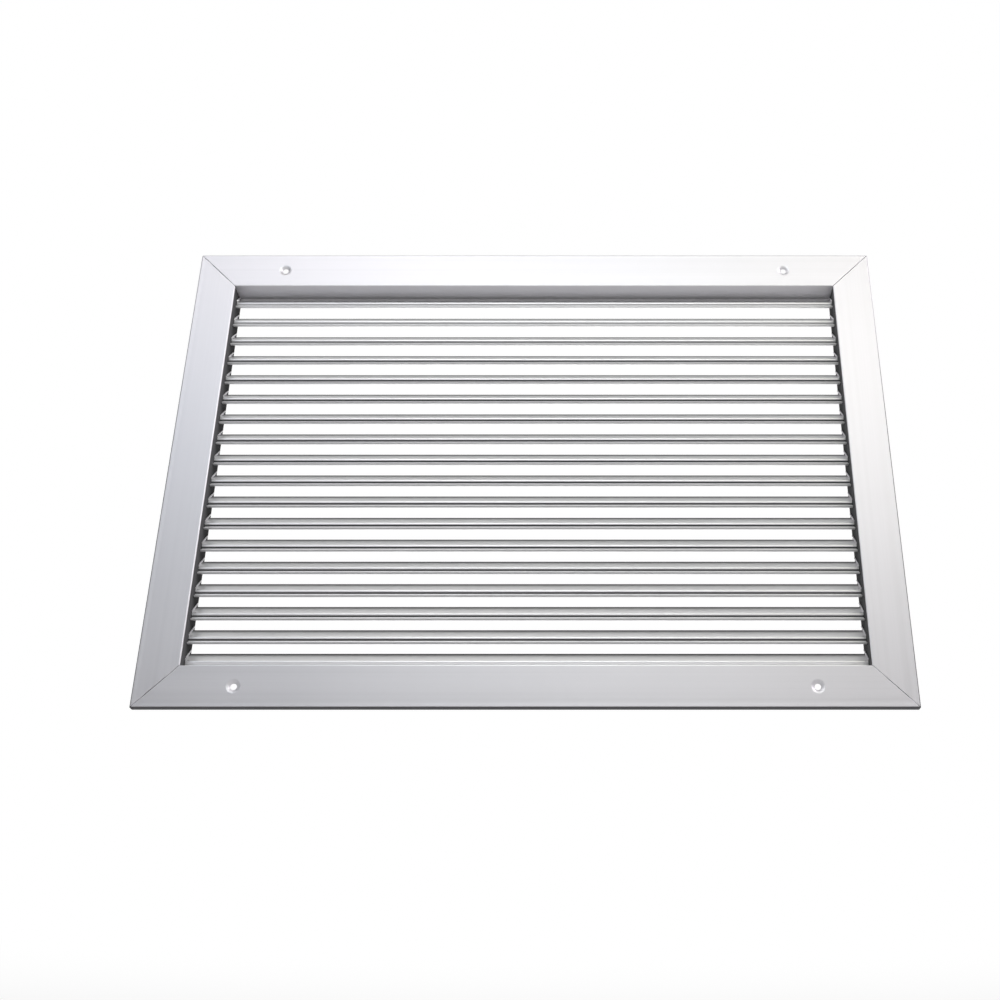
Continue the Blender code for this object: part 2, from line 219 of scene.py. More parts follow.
class BladeSizes(bpy.types.PropertyGroup):
    """Sizes of the louvre blades and of the slots that hold them."""

    slope: turned("Slope", "Rise of the flap towards the duct", 45.0)
    thickness: length("Thickness", "Wall of the blade", 1.2)
    flap_length: length("Flap length", "Middle of the bead to the end of the flap", 11.9)
    bead_radius: length("Bead radius", "Radius of the bead along the nose", 1.2)
    bead_proud: length("Bead proud", "How far the bead stands above the flap", 0.65)
    cove_radius: length("Cove radius", "Radius of the hollow under the bead", 1.5)
    lip_reach: length("Lip reach", "How far the lip comes forward of the bead's middle", 3.0)
    lip_drop: length("Lip drop", "How far the lip hangs below the bead's middle", 4.5)
    relief_start: length("Relief start", "Middle of the bead to the relief at the blade's end", 1.3)
    relief_length: length("Relief length", "Relief measured along the slope", 1.7)
    relief_width: length("Relief width", "How deep the relief cuts into the blade's end", 1.8)
    tongue_length: length("Tongue length", "Tongue measured along the slope", 7.1)
    tongue_past_wall: length("Tongue past wall", "How far the tongue shows behind the neck", 0.4)
    slot_start: length("Slot start", "Middle of the bead to the punched slot", 1.0)
    slot_above_blade: length("Slot above blade", "Slot height above the flap", 2.1)
    slot_end_wall: length("Slot end wall", "Neck left behind the slots", 1.6)
    slot_top_wall: length("Slot top wall", "Neck left above the top slot", 0.8)
    lug_end_wall: length("Lug end wall", "Neck behind the lugs", 3.4)
    lug_thickness: length("Lug thickness", "Wall of the punched lug above a blade's end", 0.7)
    lug_proud: length("Lug proud", "How far a lug stands into the opening", 1.2)
    # Painted shade on the lip, as a share of the painted shade at the flap's rear.
    lip_painted_shade: share("Lip film", "Film on the lip, against one at the rear of the flap", 0.68)
    tilt_scatter: turned("Tilt scatter", "Largest tilt of a blade in its slot", 0.25)
    seed: IntProperty(name="Seed", description="Choice of the small tilts and tones", default=4, min=0)


class KeySizes(bpy.types.PropertyGroup):
    """Sizes of the corner keys."""

    width: length("Key width", "Width of the flat bar", 10.0)
    thickness: length("Key thickness", "Thickness of the flat bar", 1.6)
    leg: length("Key leg", "Outer corner to the tip of a leg", 40.0)
    tip_chamfer: length("Tip chamfer", "Chamfer at the corners of the tips", 1.5)
    edge_round: length("Edge round", "Round on the punched edges", 0.25)


class Finishes(bpy.types.PropertyGroup):
    """Colours and gloss of the metals, and the painted shade laid on them."""

    member_colour: tint("Frame colour", "Anodised frame extrusion", (0.80, 0.787, 0.812))
    member_roughness: share("Frame roughness", "Satin of the frame", 0.50)
    blade_colour: tint("Blade colour", "Anodised blade extrusion", (0.91, 0.905, 0.912))
    blade_roughness: share("Blade roughness", "Satin of the blades", 0.33)
    metal_share: share("Metal share", "Mirrored part of the satin; the rest scatters", 0.70)
    # The film below is painted shade. It lays a dark matt colour, with less metal and more roughness, where
    # shade falls: inside the necks, on the outer rim, up the flaps' rear and in the coves. It thins towards the
    # top on the rim and the coves. It stands for shade, not for a deposit from the air.
    skin_gloss: share("Skin gloss", "Gloss of the etched skin and of the film", 0.1)
    painted_shade_colour: tint("Film colour", "Matt film that the air leaves in sheltered places", (0.07, 0.07, 0.072))
    painted_shade_on_sides: share("Film on the sides", "How much film covers the inside of the side necks", 1.0)
    painted_shade_at_front: share("Film at the front", "Part of that film that starts right behind the face", 0.95)
    painted_shade_on_top: share("Film on the top", "How much film covers the inside of the top and bottom necks", 0.04)
    painted_shade_on_rim: share("Film on the rim", "How much film covers the rim that meets the wall", 0.85)
    painted_shade_left_at_top: share("Film left at the top", "What is left of it on the topmost coves and rim", 0.4)
    painted_shade_on_blades: share("Film on the blades", "How much film covers the flaps' rear and the coves", 1.0)
    key_colour: tint("Key colour", "Plain mill aluminium", (0.62, 0.62, 0.64))
    key_roughness: share("Key roughness", "Satin of the keys", 0.42)
    member_contrast: share("Frame contrast", "Difference in tone between the frame's drawn lines", 0.12)
    blade_contrast: share("Blade contrast", "Difference in tone between the blades' drawn lines", 0.05)
    line_depth: length("Line depth", "Height of the fine lines that the extrusion die leaves", 0.008)
    blade_line_depth: length("Blade line depth", "The same on the blades", 0.001)


class Studio(bpy.types.PropertyGroup):
    """Camera, lamps and stage."""

    camera_place: FloatVectorProperty(
        name="Camera place",
        description="Where the camera stands",
        default=(0.03750, -0.78013, -0.40151),
        subtype="TRANSLATION",
        unit="LENGTH",
    )
    camera_tilt: turned("Camera tilt", "Turn of the camera from looking straight down", 115.779)
    camera_shift: FloatProperty(name="Camera shift", description="Shift of the lens", default=-0.08457)
    lens: FloatProperty(name="Lens", description="Focal length", default=45.20, unit="CAMERA")
    floor_height: FloatProperty(
        name="Floor height",
        description="Height of the floor",
        default=-0.62,
        unit="LENGTH",
        subtype="DISTANCE",
    )
    backdrop_distance: length("Backdrop distance", "Grille to the backdrop", 3000.0)
    backdrop_height: length("Backdrop height", "Top of the backdrop above the grille", 4200.0)
    white_half_turn: turned("White half turn", "How far the wall's white comes round to each side", 105.0)
    paper_curve: length("Paper curve", "Radius of the curve between the floor and the wall", 600.0)
    paper_step: turned("Paper step", "Turn between two columns of the paper", 6.0)
    paper_colour: tint("Paper colour", "Floor and backdrop", (0.76, 0.76, 0.76))
    paper_roughness: share("Paper roughness", "Mattness of the paper", 0.9)
    paper_gloss: share("Paper gloss", "Gloss of the paper", 0.1)
    floor_white: share("Floor white", "How near to plain white the camera sees the floor", 0.45)
    surround: share("Surround", "Light of the room itself", 0.13)
    front: level("Front lamp", "Brightness of the lamp in front", 2.9)
    front_left_low: level("Front left lamp, low", "Brightness of the lower lamp at the left front", 0.95)
    front_left_high: level("Front left lamp, high", "Brightness of the upper lamp at the left front", 1.05)
    front_right: level("Front right lamp", "Brightness of the lamp at the right front", 1.6)
    right: level("Right lamp", "Brightness of the lamp far to the right", 4.6)
    left: level("Left lamp", "Brightness of the lamp far to the left", 2.0)
    rear: level("Rear lamp", "Brightness of the lamp towards the duct side", 1.5)


# Nodes


class Wire:
    """A node's output in a sum: each operator adds the Math node that works it out."""

    def __init__(self, graph, socket):
        self.graph = graph
        self.socket = socket

    def __add__(self, other):
        return self.graph.maths("ADD", self, other)

    __radd__ = __add__

    def __sub__(self, other):
        return self.graph.maths("SUBTRACT", self, other)

    def __rsub__(self, other):
        return self.graph.maths("SUBTRACT", other, self)

    def __mul__(self, other):
        return self.graph.maths("MULTIPLY", self, other)

    __rmul__ = __mul__


class Graph:
    """Adds nodes to a shader or geometry tree."""

    def __init__(self, tree):
        self.tree = tree

    def node(self, kind, settings=None, values=None):
        """A node of a type: its settings first, then the values or wires of its sockets."""
        made = self.tree.nodes.new(kind)
        for name, setting in (settings or {}).items():
            setattr(made, name, setting)
        self.fill(made, values or {})
        return made

    def fill(self, node, values):
        """Put values or wires into a node's sockets."""
        for key, value in values.items():
            socket = node.inputs[key] if isinstance(key, int) else find_socket(node.inputs, key)
            if isinstance(value, Wire):
                self.tree.links.new(value.socket, socket)
            else:
                socket.default_value = value

    def add(self, kind, settings=None, values=None, output=0):
        """A node's output as a wire."""
        made = self.node(kind, settings, values)
        socket = made.outputs[output] if isinstance(output, int) else find_socket(made.outputs, output)
        return Wire(self, socket)

    def maths(self, operation, first, second):
        """Two numbers or wires, worked out by a Math node."""
        return self.add("ShaderNodeMath", {"operation": operation}, {0: first, 1: second})

    def axes(self):
        """The object's own X, Y and Z as wires."""
        place = self.add("ShaderNodeTexCoord", output="Object")
        parts = self.node("ShaderNodeSeparateXYZ", values={"Vector": place})
        return tuple(Wire(self, parts.outputs[axis]) for axis in "XYZ")

    def stepped(self, value, start, end):
        """A soft step from nothing at the start to one at the end."""
        return self.add(
            "ShaderNodeMapRange",
            {"interpolation_type": "SMOOTHSTEP"},
            {"Value": value, "From Min": start, "From Max": end},
        )

    def mixed(self, factor, first, second):
        """A colour between two colours, each three numbers or a wire."""
        values = {"Factor_Float": factor}
        for name, colour in (("A_Color", first), ("B_Color", second)):
            values[name] = colour if isinstance(colour, Wire) else (*colour, 1.0)
        return self.add("ShaderNodeMix", {"data_type": "RGBA"}, values, output="Result_Color")


def find_socket(sockets, key):
    """The socket that is in use under an identifier or a name."""
    for socket in sockets:
        if socket.identifier == key:
            return socket
    return next(socket for socket in sockets if socket.name == key and socket.enabled)


def new_tree(name, inputs):
    """A geometry tree with named inputs; returns the tree, its graph and a wire for each input."""
    tree = bpy.data.node_groups.new(name, "GeometryNodeTree")
    tree.interface.new_socket("Geometry", in_out="INPUT", socket_type="NodeSocketGeometry")
    for title, kind in inputs:
        tree.interface.new_socket(title, in_out="INPUT", socket_type=f"NodeSocket{kind}")
    tree.interface.new_socket("Geometry", in_out="OUTPUT", socket_type="NodeSocketGeometry")
    graph = Graph(tree)
    entry = graph.node("NodeGroupInput")
    wires = {socket.name: Wire(graph, socket) for socket in entry.outputs if socket.name}
    return tree, graph, wires


def close_tree(graph, geometry, material):
    """Real geometry with its material, to the tree's output."""
    real = graph.add("GeometryNodeRealizeInstances", values={"Geometry": geometry})
    dressed = graph.add("GeometryNodeSetMaterial", values={"Geometry": real, "Material": material})
    graph.node("NodeGroupOutput", values={0: dressed})


def extrusion_tree():
    """A section drawn out along X, its ends mitred if asked, then turned about Y and put in its place."""
    tree, graph, given = new_tree(
        "Extruded length",
        (
            ("Length", "Float"),
            ("Mitre", "Float"),
            ("Mitre gap", "Float"),
            ("Turn", "Float"),
            ("Place", "Vector"),
            ("Material", "Material"),
        ),
    )
    half = given["Length"] * 0.5
    start = graph.add("ShaderNodeCombineXYZ", values={"Z": half * -1.0})
    end = graph.add("ShaderNodeCombineXYZ", values={"Z": half})
    line = graph.add("GeometryNodeCurvePrimitiveLine", values={"Start": start, "End": end})
    drawn = graph.add(
        "GeometryNodeCurveToMesh",
        values={"Curve": line, "Profile Curve": given["Geometry"], "Fill Caps": True},
    )
    quarter = math.pi / 2
    laid = graph.add("GeometryNodeTransform", values={"Geometry": drawn, "Rotation": (quarter, 0.0, quarter)})
    position = graph.add("GeometryNodeInputPosition")
    axes = graph.node("ShaderNodeSeparateXYZ", values={"Vector": position})
    across = Wire(graph, axes.outputs["X"])
    up = Wire(graph, axes.outputs["Z"])
    side = graph.add("ShaderNodeMath", {"operation": "SIGN"}, {0: across})
    shift = graph.add("ShaderNodeCombineXYZ", values={"X": side * (up - given["Mitre gap"]) * given["Mitre"]})
    mitred = graph.add("GeometryNodeSetPosition", values={"Geometry": laid, "Offset": shift})
    turn = graph.add("ShaderNodeCombineXYZ", values={"Y": given["Turn"]})
    placed = graph.add(
        "GeometryNodeTransform", values={"Geometry": mitred, "Rotation": turn, "Translation": given["Place"]}
    )
    close_tree(graph, placed, given["Material"])
    return tree


def row_tree():
    """Copies of a piece in a row that goes down from a first place, each with its own small tilt and tone."""
    tree, graph, given = new_tree(
        "Row of copies",
        (
            ("Count", "Int"),
            ("Spacing", "Float"),
            ("First place", "Vector"),
            ("Tilt scatter", "Float"),
            ("Seed", "Int"),
            ("Material", "Material"),
        ),
    )
    step = graph.add("ShaderNodeCombineXYZ", values={"Z": given["Spacing"] * -1.0})
    points = graph.add(
        "GeometryNodeMeshLine",
        values={"Count": given["Count"], "Start Location": given["First place"], "Offset": step},
    )
    lean = graph.add(
        "FunctionNodeRandomValue",
        {"data_type": "FLOAT"},
        {"Min_001": given["Tilt scatter"] * -1.0, "Max_001": given["Tilt scatter"], "Seed": given["Seed"]},
        output="Value_001",
    )
    tilt = graph.add("ShaderNodeCombineXYZ", values={"X": lean})
    copies = graph.add(
        "GeometryNodeInstanceOnPoints",
        values={"Points": points, "Instance": given["Geometry"], "Rotation": tilt},
    )
    tone = graph.add(
        "FunctionNodeRandomValue", {"data_type": "FLOAT"}, {"Seed": given["Seed"] + 1.0}, output="Value_001"
    )
    toned = graph.add(
        "GeometryNodeStoreNamedAttribute",
        {"data_type": "FLOAT", "domain": "INSTANCE"},
        {"Geometry": copies, "Name": "tone", "Value": tone},
    )
    close_tree(graph, toned, given["Material"])
    return tree


def shared_tree(name, make):
    """A tree by its name, made the first time that it is asked for."""
    return bpy.data.node_groups.get(name) or make()


# Shapes


def polar(radius, angle):
    """The point at a radius and an angle from the origin."""
    return Vector((radius * math.cos(angle), radius * math.sin(angle)))


def arc(centre, radius, start, sweep, step):
    """Points along an arc, both ends included; a positive sweep turns from +X to +Y."""
    steps = max(2, math.ceil(abs(sweep) / step))
    return [centre + polar(radius, start + sweep * index / steps) for index in range(steps + 1)]


def angle_of(direction):
    """The angle of a direction, from 0 to a full turn."""
    return math.atan2(direction.y, direction.x) % math.tau


def mirrored(outline):
    """An outline and its mirror image across Y, as one loop."""
    return outline + [Vector((-point.x, point.y)) for point in outline[::-1]]


def linked(name, data):
    """A new object in the scene."""
    obj = bpy.data.objects.new(name, data)
    bpy.context.scene.collection.objects.link(obj)
    return obj


def sewn(shape, mesh):
    """Put a shape into a mesh, with its doubles merged and its faces outwards."""
    bmesh.ops.remove_doubles(shape, verts=shape.verts, dist=WELD_DISTANCE)
    bmesh.ops.recalc_face_normals(shape, faces=shape.faces)
    shape.to_mesh(mesh)
    shape.free()
    return mesh


def outline_object(name, outline):
    """A closed outline in the XY plane, as a curve to be swept."""
    curve = bpy.data.curves.new(name, "CURVE")
    curve.dimensions = "2D"
    curve.fill_mode = "NONE"
    spline = curve.splines.new("POLY")
    spline.points.add(len(outline) - 1)
    for point, place in zip(spline.points, outline):
        point.co = (place.x, place.y, 0.0, 1.0)
    spline.use_cyclic_u = True
    return linked(name, curve)


def with_tree(obj, tree, settings):
    """The plain mesh that a geometry tree makes of an object, which is then removed."""
    modifier = obj.modifiers.new(tree.name, "NODES")
    modifier.node_group = tree
    named = {item.name: item.identifier for item in tree.interface.items_tree if item.in_out == "INPUT"}
    for name, setting in settings.items():
        modifier[named[name]] = setting
    return plain(obj)


def worked_out(obj):
    """The mesh that an object's modifiers make of it."""
    bpy.context.view_layer.update()
    graph = bpy.context.evaluated_depsgraph_get()
    return bpy.data.meshes.new_from_object(obj.evaluated_get(graph))


def plain(obj):
    """The object as a plain mesh at the origin, with its modifiers worked out and its doubles merged."""
    mesh = worked_out(obj)
    name = obj.name
    bpy.data.objects.remove(obj, do_unlink=True)
    shape = bmesh.new()
    shape.from_mesh(mesh)
    sewn(shape, mesh)
    mesh.name = name
    return linked(name, mesh)


def extruded(
    name, outline, drawn_length, material, mitre=0.0, mitre_gap=0.0, turn=0.0, place=(0.0, 0.0, 0.0)
):
    """An outline drawn out along X: its X as depth along +Y and its Y as height along +Z."""
    return with_tree(
        outline_object(name, outline),
        shared_tree("Extruded length", extrusion_tree),
        {
            "Length": drawn_length,
            "Mitre": mitre,
            "Mitre gap": mitre_gap,
            "Turn": turn,
            "Place": place,
            "Material": material,
        },
    )


def as_plate(obj, depth=0.0):
    """Turn an extruded outline to face the front, with its X across and its Y up, at a depth."""
    matrix = Euler((0.0, 0.0, -math.pi / 2)).to_matrix().to_4x4()
    matrix.translation = (0.0, depth, 0.0)
    obj.data.transform(matrix)


def in_row(piece, first, seed=0, tilt_scatter=0.0, material=None):
    """A row of a piece, one for each blade."""
    return with_tree(
        piece,
        shared_tree("Row of copies", row_tree),
        {
            "Count": BLADE_COUNT,
            "Spacing": BLADE_SPACING,
            "First place": tuple(first),
            "Tilt scatter": tilt_scatter,
            "Seed": seed,
            "Material": material,
        },
    )


def rounded(obj, width, segments=2):
    """The object with its sharp edges rounded."""
    bevel = obj.modifiers.new("edge round", "BEVEL")
    bevel.width = width
    bevel.segments = segments
    bevel.limit_method = "ANGLE"
    bevel.angle_limit = SMOOTH_BELOW
    bevel.miter_outer = "MITER_ARC"
    return plain(obj)


def combined(obj, operation, other):
    """The object cut, joined or trimmed by another one, which is then removed."""
    modifier = obj.modifiers.new(operation.lower(), "BOOLEAN")
    modifier.operation = operation
    modifier.solver = "EXACT"
    modifier.object = other
    made = plain(obj)
    bpy.data.objects.remove(other, do_unlink=True)
    return made


def shaded(obj):
    """The object with smooth rounds and flat faces that stay flat."""
    obj.data.shade_smooth()
    obj.data.set_sharp_from_angle(angle=SMOOTH_BELOW)
    weighted = obj.modifiers.new("flat faces", "WEIGHTED_NORMAL")
    weighted.keep_sharp = True
    weighted.weight = 100
    mesh = worked_out(obj)
    obj.modifiers.clear()
    obj.data = mesh
    mesh.name = obj.name
    return obj


def dressed(obj, material, slot, *nodes):
    """A finished piece: its material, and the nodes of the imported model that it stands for."""
    obj.data.materials.clear()
    obj.data.materials.append(material)
    obj.data.polygons.foreach_set("material_index", [0] * len(obj.data.polygons))
    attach(obj, "root")
    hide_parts(*nodes)


# Frame members


def member_outline(sizes, key):
    """The extruded section of a frame member, X as depth behind the face and Y outwards from the neck."""
    inner = sizes.inner_radius
    outer = sizes.outer_radius
    step = sizes.arc_step
    hollow = max(outer - sizes.flange_thickness, 2 * sizes.clearance)
    hollow_centre = Vector((sizes.flange_thickness + hollow, FLANGE_WIDTH - sizes.return_wall - hollow))
    outline = [Vector((NECK_DEPTH, 0.0))]
    outline += arc(Vector((inner, inner)), inner, math.pi * 1.5, -math.pi / 2, step)
    dip = FLANGE_WIDTH - sizes.die_line_from_edge
    outline += [
        Vector((0.0, dip - sizes.die_line_width / 2)),
        Vector((sizes.die_line_depth, dip)),
        Vector((0.0, dip + sizes.die_line_width / 2)),
    ]
    outline += arc(Vector((outer, FLANGE_WIDTH - outer)), outer, math.pi, -math.pi / 2, step)
    outline += [
        Vector((sizes.return_depth, FLANGE_WIDTH)),
        Vector((sizes.return_depth, FLANGE_WIDTH - sizes.return_wall)),
    ]
    outline += arc(hollow_centre, hollow, math.pi / 2, math.pi / 2, step)
    outline += channel_rib(sizes, key, 1)
    outline += channel_rib(sizes, key, -1)
    outline += [Vector((sizes.flange_thickness, sizes.neck_wall)), Vector((NECK_DEPTH, sizes.neck_wall))]
    return outline


def channel_rib(sizes, key, side):
    """A hooked rib of the key channel: side 1 is the outer rib, -1 the inner one."""
    centre = FLANGE_WIDTH - sizes.channel_from_edge
    wall = centre + side * (key.width / 2 + sizes.clearance)
    back = wall + side * sizes.rib_wall
    tip = wall - side * sizes.hook_reach
    hook_front = sizes.flange_thickness + key.thickness + 2 * sizes.clearance
    hook_back = hook_front + sizes.hook_thickness
    rib = [
        Vector((sizes.flange_thickness, back)),
        Vector((hook_back, back)),
        Vector((hook_back, tip)),
        Vector((hook_front, tip)),
        Vector((hook_front, wall)),
        Vector((sizes.flange_thickness, wall)),
    ]
    return rib if side > 0 else rib[::-1]


def screw_hole(name, sizes, across, up):
    """A cutter for a countersunk hole whose edge dips softly from the face."""
    slope = math.atan2(sizes.sink_depth, sizes.sink_radius - sizes.hole_radius)
    edge = sizes.sink_edge_radius
    rim = sizes.sink_radius + edge * math.tan(slope / 2)
    start = slope / DIP_STEPS
    dip = arc(Vector((rim, edge)), edge, -math.pi / 2 - start, start - slope, start)
    profile = [Vector((0.0, -CUT_PAST)), Vector((dip[0].x, -CUT_PAST))] + dip
    profile += [
        Vector((sizes.hole_radius, sizes.sink_depth)),
        Vector((sizes.hole_radius, sizes.return_depth + CUT_PAST)),
        Vector((0.0, sizes.return_depth + CUT_PAST)),
    ]
    shape = bmesh.new()
    points = [shape.verts.new((point.x, point.y, 0.0)) for point in profile]
    edges = [shape.edges.new(pair) for pair in zip(points, points[1:])]
    bmesh.ops.spin(
        shape,
        geom=points + edges,
        axis=(0.0, 1.0, 0.0),
        cent=(0.0, 0.0, 0.0),
        angle=math.tau,
        steps=sizes.hole_sides,
    )
    mesh = sewn(shape, bpy.data.meshes.new(name))
    mesh.transform(Matrix.Translation((across, FRONT_Y, up)))
    return linked(name, mesh)


# Louvre blades


def slope_axes(blade):
    """Directions along the blade's slope, backwards and up, and square to it, forwards and up."""
    along = polar(1.0, blade.slope)
    return along, Vector((-along.y, along.x))


def on_slope(blade, along_slope, off_slope):
    """The point at a distance along the slope from the bead's middle, and a distance off it."""
    along, square = slope_axes(blade)
    return along * along_slope + square * off_slope


def faces_of(blade):
    """How far the flap's upper and lower face lie off the slope through the bead's middle."""
    upper = blade.bead_radius - blade.bead_proud
    return upper, upper - blade.thickness


def blade_outline(blade, step):
    """The extruded section of a blade, from the bead's middle: X is backwards and Y is up."""
    edge = blade.thickness / 2
    upper, lower = faces_of(blade)
    cove, lip = cove_centre(blade)
    back_radius = blade.cove_radius + blade.thickness

    bead_start = angle_of(on_slope(blade, math.sqrt(blade.bead_radius**2 - upper**2), upper))
    bead_end = angle_of(cove)
    cove_start = angle_of(-cove)
    cove_end = angle_of(lip - cove) - math.tau
    square = slope_axes(blade)[1]
    back_end = blade.slope + math.asin((lower - square.dot(cove)) / back_radius)

    flap_end = on_slope(blade, blade.flap_length - edge, upper - edge)
    outline = arc(flap_end, edge, blade.slope - math.pi / 2, math.pi, step)
    outline += arc(Vector((0.0, 0.0)), blade.bead_radius, bead_start, bead_end - bead_start, step)
    outline += arc(cove, blade.cove_radius, cove_start, cove_end - cove_start, step)[1:]
    outline += arc(lip, edge, angle_of(cove - lip), math.pi, step)[1:]
    outline += arc(cove, back_radius, cove_end, back_end - cove_end, step)[1:]
    return outline


def cove_centre(blade):
    """The middle of the cove between the bead and the lip."""
    edge = blade.thickness / 2
    lip = Vector((edge - blade.lip_reach, edge - blade.lip_drop))
    near = blade.bead_radius + blade.cove_radius
    far = blade.cove_radius + edge
    reach = lip.length
    ahead = (near**2 - far**2 + reach**2) / (2 * reach)
    aside = math.sqrt(max(near**2 - ahead**2, 0.0))
    direction = lip.normalized()
    return direction * ahead + Vector((direction.y, -direction.x)) * aside, lip


def mark_painted_shade(obj, blade):
    """Note on each point how much painted shade it holds: up the flap's upper side, in the cove and on the lip.
    """
    cove, lip = cove_centre(blade)
    along, square = slope_axes(blade)
    upper, lower = faces_of(blade)
    deepest = (lip * COVE_PAINTED_SHADE_AIM - cove).normalized()
    marks = obj.data.attributes.new("painted_shade", "FLOAT", "POINT")
    for point, mark in zip(obj.data.vertices, marks.data):
        place = Vector((point.co.y, point.co.z))
        up_slope = along.dot(place)
        if up_slope > blade.flap_length - blade.thickness / 2:
            mark.value = 1.0
        elif up_slope > blade.bead_radius and square.dot(place) > (upper + lower) / 2:
            mark.value = (up_slope - blade.bead_radius) / (blade.flap_length - blade.bead_radius)
        elif (place - lip).length < blade.thickness / 2 + PAINTED_SHADE_ON_ARC:
            mark.value = blade.lip_painted_shade
        elif abs((place - cove).length - blade.cove_radius) < PAINTED_SHADE_ON_ARC:
            mark.value = max(0.0, deepest.dot((place - cove).normalized())) ** 2


def blank_outline(blade, sizes):
    """A blade seen square to its slope, with tongues and reliefs: X along the blade and Y up the slope."""
    wall = OPENING_WIDTH / 2 - sizes.clearance
    tongue = OPENING_WIDTH / 2 + sizes.neck_wall + blade.tongue_past_wall
    relief_end = blade.relief_start + blade.relief_length
    return mirrored(
        [
            Vector((wall, -blade.lip_reach - blade.lip_drop)),
            Vector((wall, blade.relief_start)),
            Vector((wall - blade.relief_width, blade.relief_start)),
            Vector((wall - blade.relief_width, relief_end)),
            Vector((tongue, relief_end)),
            Vector((tongue, relief_end + blade.tongue_length)),
            Vector((wall, relief_end + blade.tongue_length)),
            Vector((wall, blade.flap_length + CUT_PAST)),
        ]
    )


def first_bead(blade, step):
    """The middle of the top blade's bead."""
    outline = blade_outline(blade, step)
    lowest = min(point.y for point in outline)
    return Vector((0.0, FIRST_LOW.y + blade.lip_reach, FIRST_LOW.z - lowest))


def strip_outline(blade, lower, upper, end_wall):
    """A strip along a blade's slope, between two distances off it, that ends before the neck does."""
    bead_depth = FIRST_LOW.y + blade.lip_reach - FRONT_Y
    rear = NECK_DEPTH - end_wall - bead_depth
    start_low = on_slope(blade, blade.slot_start, lower)
    start_high = on_slope(blade, blade.slot_start, upper)
    rise = math.tan(blade.slope)
    return [
        start_low,
        Vector((rear, start_low.y + (rear - start_low.x) * rise)),
        Vector((rear, start_high.y + (rear - start_high.x) * rise)),
        start_high,
    ]


def punched(member, name, side, sizes, blade, material):
    """A side member with a row of lugs and a row of slots in its neck."""
    upper, lower = faces_of(blade)
    first = first_bead(blade, sizes.arc_step)
    ceiling = OPENING_HEIGHT / 2 - blade.slot_top_wall
    wall_middle = side * (OPENING_WIDTH + sizes.neck_wall) / 2
    root = sizes.neck_wall / 2
    lug_middle = side * (OPENING_WIDTH + root - blade.lug_proud) / 2
    slot_top = upper + blade.slot_above_blade

    lug_outline = strip_outline(blade, slot_top, slot_top + blade.lug_thickness, blade.lug_end_wall)
    lug = extruded(f"{name}_lugs", lug_outline, root + blade.lug_proud, material)
    lug = rounded(lug, sizes.edge_round)
    lugs = in_row(lug, first + Vector((lug_middle, 0.0, 0.0)), material=material)
    slot_outline = strip_outline(blade, lower - sizes.clearance, slot_top, blade.slot_end_wall)
    slot = extruded(f"{name}_slots", slot_outline, sizes.neck_wall + 2 * CUT_PAST, material)
    slots = in_row(slot, first + Vector((wall_middle, 0.0, 0.0)), material=material)
    for row in (lugs, slots):
        trim_above(row, ceiling)
    joined = combined(member, "UNION", lugs)
    return combined(joined, "DIFFERENCE", slots)


def trim_above(obj, height):
    """Cut off what stands above a height, and close the cut."""
    shape = bmesh.new()
    shape.from_mesh(obj.data)
    cut = bmesh.ops.bisect_plane(
        shape,
        geom=shape.verts[:] + shape.edges[:] + shape.faces[:],
        plane_co=(0.0, 0.0, height),
        plane_no=(0.0, 0.0, 1.0),
        clear_outer=True,
    )
    edges = [item for item in cut["geom_cut"] if isinstance(item, bmesh.types.BMEdge)]
    bmesh.ops.holes_fill(shape, edges=edges, sides=0)
    bmesh.ops.recalc_face_normals(shape, faces=shape.faces)
    shape.to_mesh(obj.data)
    shape.free()


# Materials


def new_material(name):
    """A material with an empty tree but for its surface shader; returns it, its graph and its shader."""
    material = bpy.data.materials.new(name)
    material.use_nodes = True
    graph = Graph(material.node_tree)
    shader = material.node_tree.nodes["Principled BSDF"]
    return material, graph, shader


def stretched_noise(graph, scale, detail=2.0, seed=0.0):
    """Noise on the object's own coordinates, drawn out along the axes whose scale is small."""
    place = graph.add("ShaderNodeTexCoord", output="Object")
    moved = (seed, seed, seed)
    scaled = graph.add("ShaderNodeMapping", values={"Vector": place, "Scale": scale, "Location": moved})
    return graph.add(
        "ShaderNodeTexNoise",
        {"noise_dimensions": "3D"},
        {"Vector": scaled, "Scale": 1.0, "Detail": detail},
        output="Fac",
    )


def bumped(graph, height, strength, distance):
    """The normal that a height gives."""
    values = {"Height": height, "Strength": strength, "Distance": distance}
    return graph.add("ShaderNodeBump", values=values, output="Normal")


